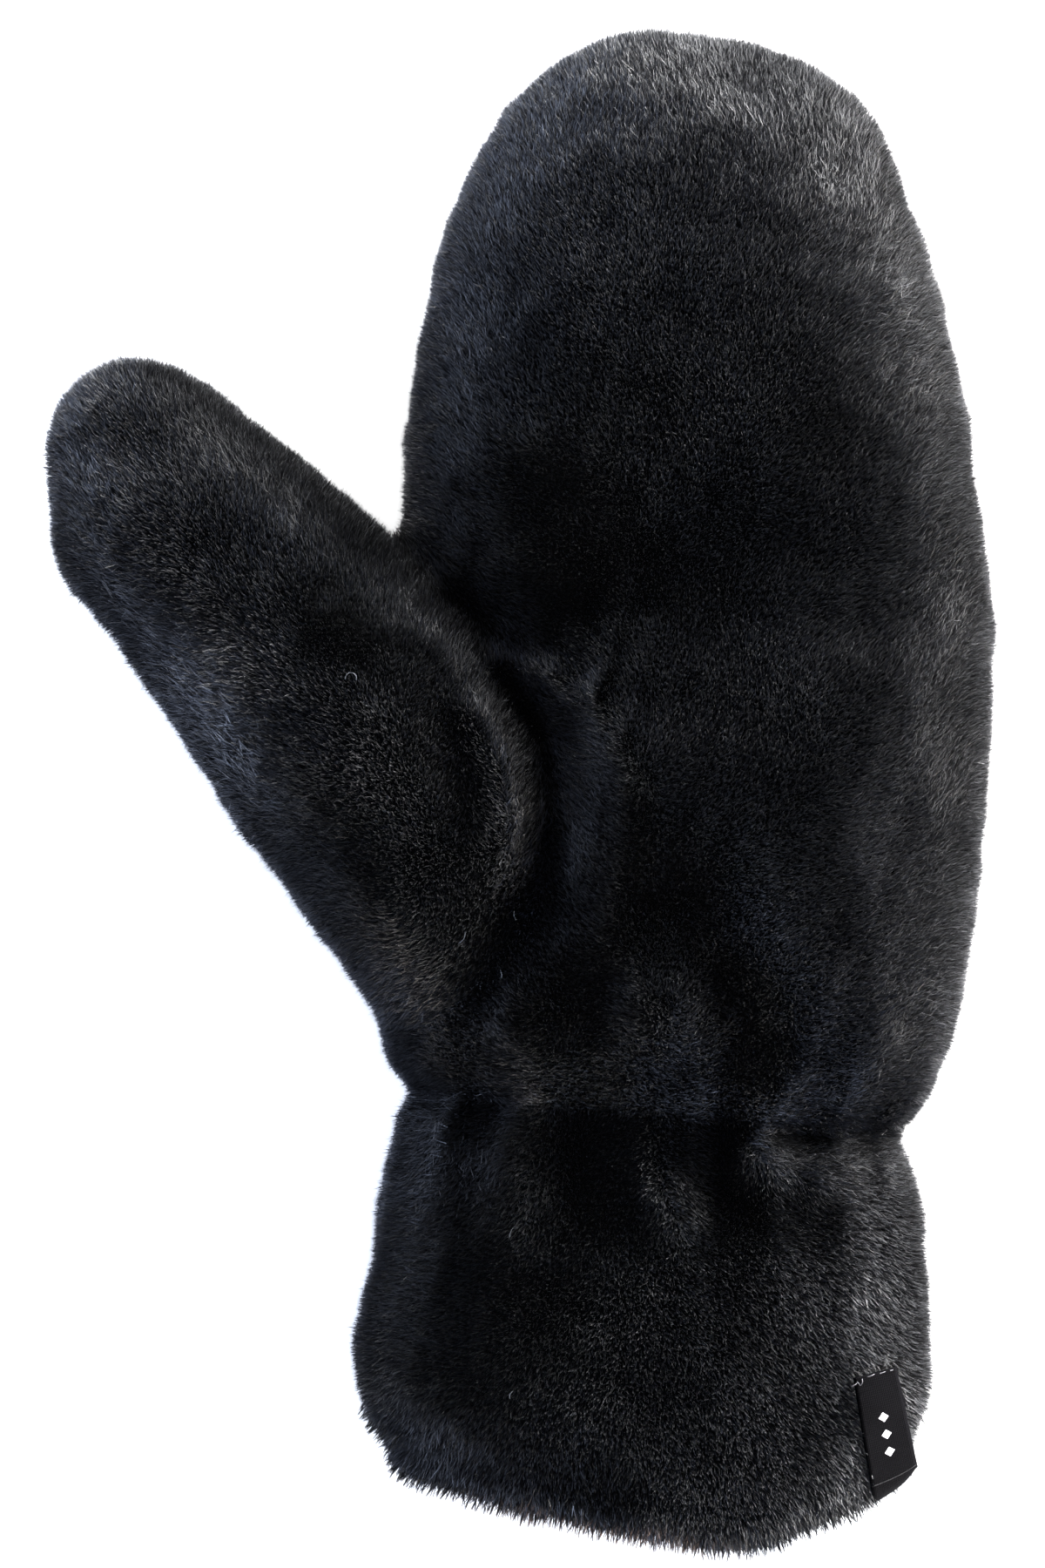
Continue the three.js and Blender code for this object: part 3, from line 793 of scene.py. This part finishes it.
def ribbon_object():
    """The ribbon as a thin closed piece, with its threads' places in mm as its UVs."""
    columns, rows = ribbon.shape[:2]
    lift = SUNK + (PROUD - SUNK) * shares[:, None] - TUCK_DEPTH * tucked**2
    under = ribbon + ribbon_normals * lift[:, :, None]
    over = under + ribbon_normals * RIBBON_THICK
    index = np.arange(columns * rows).reshape(columns, rows)
    quads = []
    for base, order in ((0, (0, 1, 2, 3)), (columns * rows, (3, 2, 1, 0))):
        for c in range(columns - 1):
            for r in range(rows - 1):
                corners = (index[c, r], index[c + 1, r], index[c + 1, r + 1], index[c, r + 1])
                quads.append([int(corners[k]) + base for k in order])
    rim = [*index[:, 0], *index[-1, 1:], *index[-2::-1, -1], *index[0, -2:0:-1]]
    for a, b in zip(rim, rim[1:] + rim[:1]):
        quads.append([int(b), int(a), int(a) + columns * rows, int(b) + columns * rows])
    vertices = np.concatenate([under.reshape(-1, 3), over.reshape(-1, 3)])
    obj = mesh_object("label_ribbon", vertices, quads)
    bm = bmesh.new()
    bm.from_mesh(obj.data)
    bmesh.ops.recalc_face_normals(bm, faces=bm.faces)
    places = bm.loops.layers.uv.new("threads")
    for face in bm.faces:
        face.smooth = True
        for loop in face.loops:
            c, r = divmod(loop.vert.index % (columns * rows), rows)
            loop[places].uv = (c / (columns - 1) * RIBBON_WIDTH / MM, r * RIBBON_STEP / MM)
    bm.to_mesh(obj.data)
    bm.free()
    return obj


label_ribbon = ribbon_object()
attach(label_ribbon, "root")
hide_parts("label")


HOLD_REACH = 0.9 * MM
HOLD_TUCKED = 0.3


def held_by_label(points):
    """Which points of the skin lie under the ribbon, so that it holds their pile down."""
    held = np.zeros(len(points), bool)
    low, high = ribbon.min((0, 1)) - 2 * MM, ribbon.max((0, 1)) + 2 * MM
    near = np.flatnonzero(((points > low) & (points < high)).all(1))
    grid = ribbon[:, tucked < HOLD_TUCKED]
    rows = grid.shape[1]
    grid = grid.reshape(-1, 3)
    for block in np.array_split(near, max(1, len(near) // 2000)):
        away = np.linalg.norm(points[block, None] - grid[None], axis=2)
        column = away.argmin(1) // rows
        held[block] = (away.min(1) < HOLD_REACH) & (column > 0)
    return held


# %% [markdown]
# ## Stitches and stray fibres
#
# Three grey running stitches hold the top edge of the label, and the loose end of the thread
# loops round its corner. A few short pale fibres lie on the pile, as they do on any dark plush.
# All are fine round threads.

# %% Threads
THREAD_SIDES = 6
STITCH_RADIUS = 0.08 * MM
STRAY_RADIUS = 0.045 * MM

# across and along the ribbon, in millimetres, and how high the thread arches
stitches = [
    {"start": (2.9, 0.5), "end": (4.9, 0.25), "arch": 0.35},
    {"start": (5.6, 0.5), "end": (7.6, 0.3), "arch": 0.2},
    {"start": (8.1, 0.4), "end": (9.3, 0.5), "arch": 0.15},
    {"start": (1.9, 0.5), "end": (1.2, 2.0), "arch": 0.5},
    {"start": (1.2, 2.0), "end": (0.5, 0.8), "arch": 0.3},
    {"start": (-0.9, 1.6), "end": (0.7, 1.2), "arch": 0.3},
]

# places in plan and lengths in millimetres, the first heading and the curl in degrees
strays = [
    {"at": (-33.5, 21.7), "length": 4.6, "heading": 60, "curl": 210},
    {"at": (-0.8, -25.2), "length": 2.2, "heading": 250, "curl": 60},
    {"at": (-3.6, -39.5), "length": 2.0, "heading": 70, "curl": 50},
    {"at": (-12.4, -32.0), "length": 3.0, "heading": 20, "curl": 80},
    {"at": (-1.0, -91.1), "length": 2.4, "heading": 230, "curl": 40},
    {"at": (-1.0, -125.1), "length": 2.0, "heading": 200, "curl": 90},
]


def on_ribbon(across, along, height):
    """A point above the ribbon, at millimetres across and along it, or just beside it."""
    share = across * MM / RIBBON_WIDTH
    c = share * (RIBBON_COLUMNS - 1)
    r = along * MM / RIBBON_STEP
    c0 = int(np.clip(c, 0, RIBBON_COLUMNS - 2))
    r0 = int(np.clip(r, 0, ribbon.shape[1] - 2))
    step_c = ribbon[c0 + 1, r0] - ribbon[c0, r0]
    step_r = ribbon[c0, r0 + 1] - ribbon[c0, r0]
    lift = SUNK + (PROUD - SUNK) * share + RIBBON_THICK + height * MM
    return ribbon[c0, r0] + step_c * (c - c0) + step_r * (r - r0) + ribbon_normals[c0, r0] * lift


def stitch_route(stitch):
    """A thread that comes up through the ribbon, arches over it and goes down again."""
    along = np.linspace(0, 1, 9)
    (c0, r0), (c1, r1) = stitch["start"], stitch["end"]
    heights = stitch["arch"] * np.sin(along * np.pi) - 0.15
    return [on_ribbon(c0 + (c1 - c0) * t, r0 + (r1 - r0) * t, h) for t, h in zip(along, heights)]


def stray_route(stray):
    """A curled fibre that lies on the tips of the pile."""
    steps = 12
    heading = np.radians(stray["heading"] + np.linspace(0, stray["curl"], steps))
    moves = np.stack([np.cos(heading), np.sin(heading)], 1) * stray["length"] * MM / steps
    plan = np.array(stray["at"]) * MM + np.cumsum(moves, axis=0)
    route = []
    for k, (x, y) in enumerate(plan):
        above = (0.3 + 0.5 * np.sin(k / (steps - 1) * np.pi)) * MM
        route.append(np.array(skin_top(x, y)) + [0, 0, above])
    return route


def threads_object(name, routes, radius):
    """Round threads along routes, all in one mesh."""
    vertices, faces = [], []
    turns = np.arange(THREAD_SIDES) / THREAD_SIDES * 2 * np.pi
    for route in routes:
        route = np.array(route)
        along = unit(np.gradient(route, axis=0))
        side = unit(np.cross(along, [0.3, 0.2, 1.0]))
        up = np.cross(side, along)
        base = len(vertices)
        for centre, s, u in zip(route, side, up):
            ring = np.cos(turns)[:, None] * s + np.sin(turns)[:, None] * u
            vertices += list(centre + radius * ring)
        last = base + (len(route) - 1) * THREAD_SIDES
        for first in range(base, last, THREAD_SIDES):
            for k in range(THREAD_SIDES):
                a, b = first + k, first + (k + 1) % THREAD_SIDES
                faces.append((a, b, b + THREAD_SIDES, a + THREAD_SIDES))
        faces.append(tuple(range(base, base + THREAD_SIDES))[::-1])
        faces.append(tuple(range(last, last + THREAD_SIDES)))
    obj = mesh_object(name, vertices, faces)
    obj.data.polygons.foreach_set("use_smooth", [True] * len(faces))
    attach(obj, "root")
    print(name, len(routes), "threads")
    return obj


label_stitches = threads_object(
    "label_stitches", [stitch_route(s) for s in stitches], STITCH_RADIUS
)
stray_fibres = threads_object(
    "stray_fibres", [stray_route(s) for s in strays], STRAY_RADIUS
)

# %% [markdown]
# ## Ribbon and thread materials
#
# The ribbon is polyester satin: long floats give it a low sheen along its length, and fine
# ribs cross it. A plain row of small light diamonds is woven in, and one pale weft crosses it
# where it turns over the hem. The threads are drawn a little coarser than real ones, because
# finer ones would only be noise at this size. The pattern is a short table with one shader node
# to a row.

# %% Ribbon and thread materials
WARP_THREAD, WEFT_THREAD = 0.35, 0.5
RIBBON_RELIEF = 0.1 * MM

# Each row is one Math node: its name, its operation, and what goes in, in millimetres. A name
# stands for that node's output, and across and along for the place on the ribbon.
weave_pattern = [
    ("off_middle", "SUBTRACT", "across", 5.0),
    ("beside", "ABSOLUTE", "off_middle", 0.0),
    ("pitches", "DIVIDE", "along", 4.0),
    ("turn", "FRACT", "pitches", 0.0),
    ("off_turn", "SUBTRACT", "turn", 0.5),
    ("turn_away", "ABSOLUTE", "off_turn", 0.0),
    ("above", "MULTIPLY", "turn_away", 4.0),
    ("reach", "ADD", "beside", "above"),
    ("diamond", "LESS_THAN", "reach", 1.1),
    ("past_top", "GREATER_THAN", "along", 8.0),
    ("before_end", "LESS_THAN", "along", 20.0),
    ("in_row", "MULTIPLY", "past_top", "before_end"),
    ("motif", "MULTIPLY", "diamond", "in_row"),
    ("off_weft", "SUBTRACT", "along", 24.5),
    ("from_weft", "ABSOLUTE", "off_weft", 0.0),
    ("on_weft", "LESS_THAN", "from_weft", 0.1),
    ("pale_weft", "MULTIPLY", "on_weft", 0.03),
    ("light", "MAXIMUM", "motif", "pale_weft"),
    ("threads", "MULTIPLY", "warp", "weft"),
]


def ribbon_material():
    """Black polyester satin ribbon: woven sheen, fine ribs, and small light woven diamonds."""
    material, tree = new_material("black_woven_satin_ribbon")
    place = add_node(tree, "ShaderNodeUVMap", {"uv_map": "threads"})
    split = add_node(tree, "ShaderNodeSeparateXYZ", Vector=place.outputs["UV"])
    warp = add_node(
        tree,
        "ShaderNodeTexWave",
        {"bands_direction": "X"},
        Vector=place.outputs["UV"],
        Scale=wave_scale(WARP_THREAD),
        Distortion=0.6,
    )
    weft = add_node(
        tree,
        "ShaderNodeTexWave",
        {"bands_direction": "Y"},
        Vector=place.outputs["UV"],
        Scale=wave_scale(WEFT_THREAD),
        Distortion=0.4,
    )
    made = {
        "across": split.outputs["X"],
        "along": split.outputs["Y"],
        "warp": warp.outputs["Fac"],
        "weft": weft.outputs["Fac"],
    }
    for name, operation, a, b in weave_pattern:
        step = add_node(
            tree,
            "ShaderNodeMath",
            {"operation": operation},
            _0=made[a],
            _1=made.get(b, b),
        )
        made[name] = step.outputs[0]
    dark = add_node(
        tree,
        "ShaderNodeMix",
        {"data_type": "RGBA"},
        _0=made["threads"],
        _6=linear("#010102"),
        _7=linear("#070609"),
    )
    colour = add_node(
        tree,
        "ShaderNodeMix",
        {"data_type": "RGBA"},
        _0=made["light"],
        _6=dark.outputs[2],
        _7=linear("#d6d6da"),
    )
    relief = add_node(
        tree, "ShaderNodeBump", Height=made["threads"], Strength=0.6, Distance=RIBBON_RELIEF
    )
    shader = add_node(
        tree,
        "ShaderNodeBsdfPrincipled",
        Base_Color=colour.outputs[2],
        Roughness=0.7,
        IOR=1.5,
        Normal=relief.outputs["Normal"],
    )
    shader.inputs["Specular IOR Level"].default_value = 0.02
    finish_material(tree, shader)
    return material


def thread_material(name, hex_colour):
    """Spun polyester thread: matte, with a faint twist as lighter and darker bands."""
    material, tree = new_material(name)
    place = add_node(tree, "ShaderNodeTexCoord")
    twist = add_node(
        tree, "ShaderNodeTexNoise", Vector=place.outputs["Object"], Scale=1 / (0.5 * MM), Detail=1.0
    )
    tone = add_node(
        tree,
        "ShaderNodeMix",
        {"data_type": "RGBA"},
        _0=twist.outputs["Fac"],
        _6=[c * 0.55 for c in linear(hex_colour)[:3]] + [1.0],
        _7=linear(hex_colour),
    )
    shader = add_node(
        tree, "ShaderNodeBsdfPrincipled", Base_Color=tone.outputs[2], Roughness=0.6, IOR=1.5
    )
    finish_material(tree, shader)
    return material


label_ribbon.data.materials.append(ribbon_material())
label_stitches.data.materials.append(thread_material("pale_spun_thread", "#5d5c62"))
stray_fibres.data.materials.append(thread_material("pale_stray_fibre", "#64686d"))
for obj in (label_ribbon, label_stitches, stray_fibres):
    print(obj.name, "is", obj.data.materials[0].name)

# %% [markdown]
# ## Pile fibres
#
# A fibre is a blade: one narrow triangle from a wide root to a sharp tip, a little coarser than
# a real one, so that 825,000 of them cover the cloth. Arrays make them fast. Tips end on the
# skin, so the mitten keeps its packed form, and neighbours draw together a little, as soft
# fibres do. On the steep sides a few wild ones stick out and make the outline soft.

# %% Make the pile
FIBRE_LENGTH = 2.9 * MM
FIBRE_WIDTH = 0.25 * MM
LEAN, EDGE_LEAN, PRESSED_LEAN, LABEL_LEAN = 8, 34, 40, 40
LEAN_SPREAD = 6
STOOD_UP_AT = 20
LABEL_PRESS = 1.5 * MM
TUFT = 1.2 * MM
TUFT_DRAW = 0.13
STRAY = 0.5
WILD_SHARE, WILD_TURN, WILD_UNDER = 0.2, 2, 0.45
FLOOR_CLEARANCE = 0.3 * MM
UNSEEN_SHARE = 0.75


def scattered(mask, density, count, rng):
    """Random places on the chosen triangles of the skin: point, normal and triangle."""
    chosen = np.flatnonzero(mask)
    weight = (tri_area * density)[chosen]
    ends = np.cumsum(weight)
    at = (np.arange(count) + rng.random(count)) / count * ends[-1]
    tri = chosen[np.searchsorted(ends, at).clip(0, len(chosen) - 1)]
    a, b = rng.random((2, count))
    over = a + b > 1
    a[over], b[over] = 1 - a[over], 1 - b[over]
    share = np.stack([1 - a - b, a, b], 1)[:, :, None]
    points = (skin_points[skin_tris[tri]] * share).sum(1)
    normals = unit((skin_normals[skin_tris[tri]] * share).sum(1))
    return points, normals, tri


def tuft_numbers(points, size):
    """Which tuft each point belongs to. The tufts are bent cells, so that no grid shows."""
    warp = np.stack([waves(points, 6 * MM, seed) for seed in (21, 22, 23)], 1)
    cells = np.floor((points + warp * 0.8 * MM) / size).astype(np.int64)
    return np.unique(cells, axis=0, return_inverse=True)[1].ravel()


def drawn_together(tips, tuft, amount):
    """Tips drawn towards the middle of the tuft that they belong to."""
    size = np.bincount(tuft)
    middle = np.stack([np.bincount(tuft, tips[:, k]) / size for k in range(3)], 1)
    return tips + (middle[tuft] - tips) * amount


def fibre_mesh(name, roots, tips, sides, tone):
    """One mesh of single-triangle fibres, with how light each is, and a level from root to tip for
    painted shade and sheen, as attributes.
    """
    count = len(roots)
    points = np.stack([roots - sides, roots + sides, tips], 1).reshape(-1, 3)
    points[:, 2] = np.maximum(points[:, 2], FLOOR_CLEARANCE)
    mesh = bpy.data.meshes.new(name)
    mesh.vertices.add(count * 3)
    mesh.vertices.foreach_set("co", points.ravel())
    mesh.loops.add(count * 3)
    mesh.loops.foreach_set("vertex_index", np.arange(count * 3, dtype=np.int32))
    mesh.polygons.add(count)
    mesh.polygons.foreach_set("loop_start", np.arange(0, count * 3, 3, dtype=np.int32))
    mesh.update(calc_edges=True)
    # level is 0 at the root and 1 at the tip: the pile materials paint shade at the root and sheen
    # at the tip with it.
    level = mesh.attributes.new("level", "FLOAT", "POINT")
    level.data.foreach_set("value", np.tile([0.0, 0.0, 1.0], count))
    shade = mesh.attributes.new("shade", "FLOAT", "POINT")
    shade.data.foreach_set("value", np.repeat(tone, 3))
    return link(bpy.data.objects.new(name, mesh))


def edge_share(normals):
    """0 on top, 1 along the mitten's edges, and less again on its steep sides."""
    edge = np.clip((0.985 - normals[:, 2]) / 0.16, 0, 1)
    edge = edge**2 * (3 - 2 * edge)
    return edge * (1 - 0.75 * np.clip((0.76 - normals[:, 2]) / 0.3, 0, 1))


def fibre_ways(points, normals, node, wild, held, rng):
    """The way that each fibre points: along the nap, leaning, with some that stray."""
    count = len(points)
    nap = nap_directions(points, normals, node)
    side = np.cross(normals, nap)
    stray = rng.normal(0, STRAY, count) + wild * rng.uniform(-WILD_TURN, WILD_TURN, count)
    nap = nap * np.cos(stray)[:, None] + side * np.sin(stray)[:, None]
    lean = LEAN + EDGE_LEAN * edge_share(normals) + brushed_lean(points)
    lean += 4 * waves(points, 40 * MM, 31)
    stood_up = np.clip(-lean / STOOD_UP_AT, 0, 0.8)[:, None]
    lean = np.maximum(lean, 2) + rng.normal(0, LEAN_SPREAD, count)
    lean += PRESSED_LEAN * pressed_share(points[:, 2], normals[:, 2]) + LABEL_LEAN * held
    lean = np.radians(lean)
    way = normals * np.cos(lean)[:, None] + nap * np.sin(lean)[:, None]
    return unit(way * (1 - stood_up) + np.array([0, 0, 1]) * stood_up)


def grow_pile(name, node, count, seed, part=None):
    """The pile of one piece, or of the part of it that a function of the points picks."""
    rng = np.random.default_rng(seed)
    mask = outside & (tri_node == plush_nodes.index(node))
    if part is not None:
        mask &= part(tri_middle)
    under = np.clip(-skin_normals[skin_tris[:, 0], 2], 0, 1) * (tri_middle[:, 2] < 6 * MM)
    points, normals, _ = scattered(mask, 1 - UNSEEN_SHARE * under, count, rng)
    wild = (rng.random(count) < WILD_SHARE) & (normals[:, 2] < WILD_UNDER)
    held = held_by_label(points)
    way = fibre_ways(points, normals, node, wild, held, rng)
    over = (rng.normal(-0.15, 0.3, count) + wild * rng.uniform(0.1, 0.9, count)) * MM
    over -= LABEL_PRESS * held
    tips = points + normals * over[:, None]
    roots = tips - way * (FIBRE_LENGTH * rng.uniform(0.85, 1.15, count))[:, None]
    tips = drawn_together(tips, tuft_numbers(tips, TUFT), TUFT_DRAW)
    along = unit(tips - roots)
    across = unit(np.cross(along, normals))
    roll = rng.uniform(0, np.pi, count)
    wide = across * np.cos(roll)[:, None] + np.cross(along, across) * np.sin(roll)[:, None]
    sides = wide * (FIBRE_WIDTH / 2 * rng.uniform(0.8, 1.3, count))[:, None]
    tone = np.clip(rng.normal(0.4, 0.16, count) + 0.12 * waves(points, 25 * MM, 41), 0, 1)
    obj = fibre_mesh(name, roots, tips, sides, tone)
    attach(obj, "root")
    print(name, count, "fibres")
    return obj


PALM_SPLIT = 35 * MM
piles = [
    grow_pile("palm_pile_heel", "palm_panel", 165000, 1, lambda p: p[:, 1] < PALM_SPLIT),
    grow_pile("palm_pile_fingers", "palm_panel", 165000, 2, lambda p: p[:, 1] >= PALM_SPLIT),
    grow_pile("back_pile", "back_panel", 175000, 3),
    grow_pile("thumb_pile", "thumb", 150000, 4),
    grow_pile("cuff_pile", "cuff", 170000, 5),
]

# %% [markdown]
# ## Fringe at the hem
#
# At the hem the pile stands out past the fold of the cloth in small pointed locks, so the
# outline breaks up into fine spikes. Wear has browned the tips along the middle of the hem,
# and the brown is painted lighter, as painted light on the hem's face, which the lamps barely
# reach.

# %% Grow the fringe
FRINGE_COUNT = 38000
FRINGE_LENGTH = 4.5 * MM
FRINGE_WIDTH = 0.2 * MM
LOCK = 1.0 * MM
LONGEST_LOCK = 2.6 * MM
LOCK_DRAW = 0.8
LOCK_SPREAD = 0.3
HEM_FACING = -0.45
HEM_FROM = -100 * MM
BROWN_FROM, BROWN_TO = -20 * MM, 50 * MM


def grow_fringe():
    """The fibres that stand out past the hem, in locks that each go their own way."""
    rng = np.random.default_rng(7)
    mask = outside & (tri_node == plush_nodes.index("cuff"))
    mask &= (skin_normals[skin_tris].mean(1)[:, 1] < HEM_FACING) & (tri_middle[:, 1] < HEM_FROM)
    points, normals, _ = scattered(mask, 1.0, FRINGE_COUNT, rng)
    keep = ~held_by_label(points)
    points, normals = points[keep], normals[keep]
    count = len(points)
    outward = unit(brushing(points, "cuff")) + normals * 0.5
    lock = tuft_numbers(points, LOCK)
    way = unit(outward + LOCK_SPREAD * rng.normal(size=(lock.max() + 1, 3))[lock])
    past = rng.uniform(0.1, 1, lock.max() + 1)[lock] * LONGEST_LOCK
    tips = drawn_together(points + way * past[:, None], lock, LOCK_DRAW)
    roots = tips - way * FRINGE_LENGTH
    sides = unit(np.cross(way, rng.normal(size=(count, 3)))) * (FRINGE_WIDTH / 2)
    middle = (BROWN_FROM + BROWN_TO) / 2
    brown = np.clip(1.6 - 1.6 * np.abs(points[:, 0] - middle) / (BROWN_TO - middle), 0, 1)
    obj = fibre_mesh("hem_fringe", roots, tips, sides, brown * rng.uniform(0.5, 1, count))
    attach(obj, "root")
    print("hem_fringe", count, "fibres")
    return obj


hem_fringe = grow_fringe()

# %% [markdown]
# ## Pile material
#
# Faux fur like this is modacrylic: fine, smooth, dyed fibres. Each is nearly black, and its
# round side gives a soft grey shine. Their colour is painted as well: black towards the root,
# as painted shade deep in the pile, and grey at the tip, as painted sheen. So the pile is dark
# where one looks into it and grey where light strikes along it.

# %% Pile material
def pile_material(name, plain, other):
    """Modacrylic pile with a soft shine, its colour painted: dark at the root as painted shade and
    lighter at the tip as painted sheen.
    """
    material, tree = new_material(name)
    level = add_node(tree, "ShaderNodeAttribute", {"attribute_name": "level"})
    shade = add_node(tree, "ShaderNodeAttribute", {"attribute_name": "shade"})
    fibre = add_node(
        tree,
        "ShaderNodeMix",
        {"data_type": "RGBA"},
        _0=shade.outputs["Fac"],
        _6=linear(plain),
        _7=linear(other),
    )
    # Painted shade and sheen: the colour times level to the fourth is black deep in the pile, where
    # shade falls, and full only at the tip, where its grey stands for sheen.
    rise = add_node(tree, "ShaderNodeMath", {"operation": "POWER"}, _0=level.outputs["Fac"], _1=4.0)
    tip = add_node(
        tree,
        "ShaderNodeMix",
        {"data_type": "RGBA", "blend_type": "MULTIPLY"},
        _0=1.0,
        _6=fibre.outputs[2],
        _7=rise.outputs["Value"],
    )
    shader = add_node(
        tree,
        "ShaderNodeBsdfPrincipled",
        Base_Color=tip.outputs[2],
        Roughness=0.5,
        IOR=1.5,
    )
    shader.inputs["Specular IOR Level"].default_value = 0.5
    finish_material(tree, shader)
    return material


# These grey tip colours are painted sheen on fibres that are black.
pile = pile_material("black_modacrylic_pile_painted_sheen", "#55565a", "#898a8f")
# Browned tips: real wear, painted lighter as painted light where the lamps barely reach.
browned_painted_light_pile = pile_material("browned_pile_tips_painted_light", "#2c2c2f", "#8c6f5c")
for obj in piles:
    obj.data.materials.append(pile)
hem_fringe.data.materials.append(browned_painted_light_pile)

# %% Count the triangles
added = backings + piles + [hem_fringe, label_ribbon, label_stitches, stray_fibres]
counts = {obj.name: len(triangles_of(obj.data)) for obj in added}
print("Triangles:", counts, "in all", sum(counts.values()))
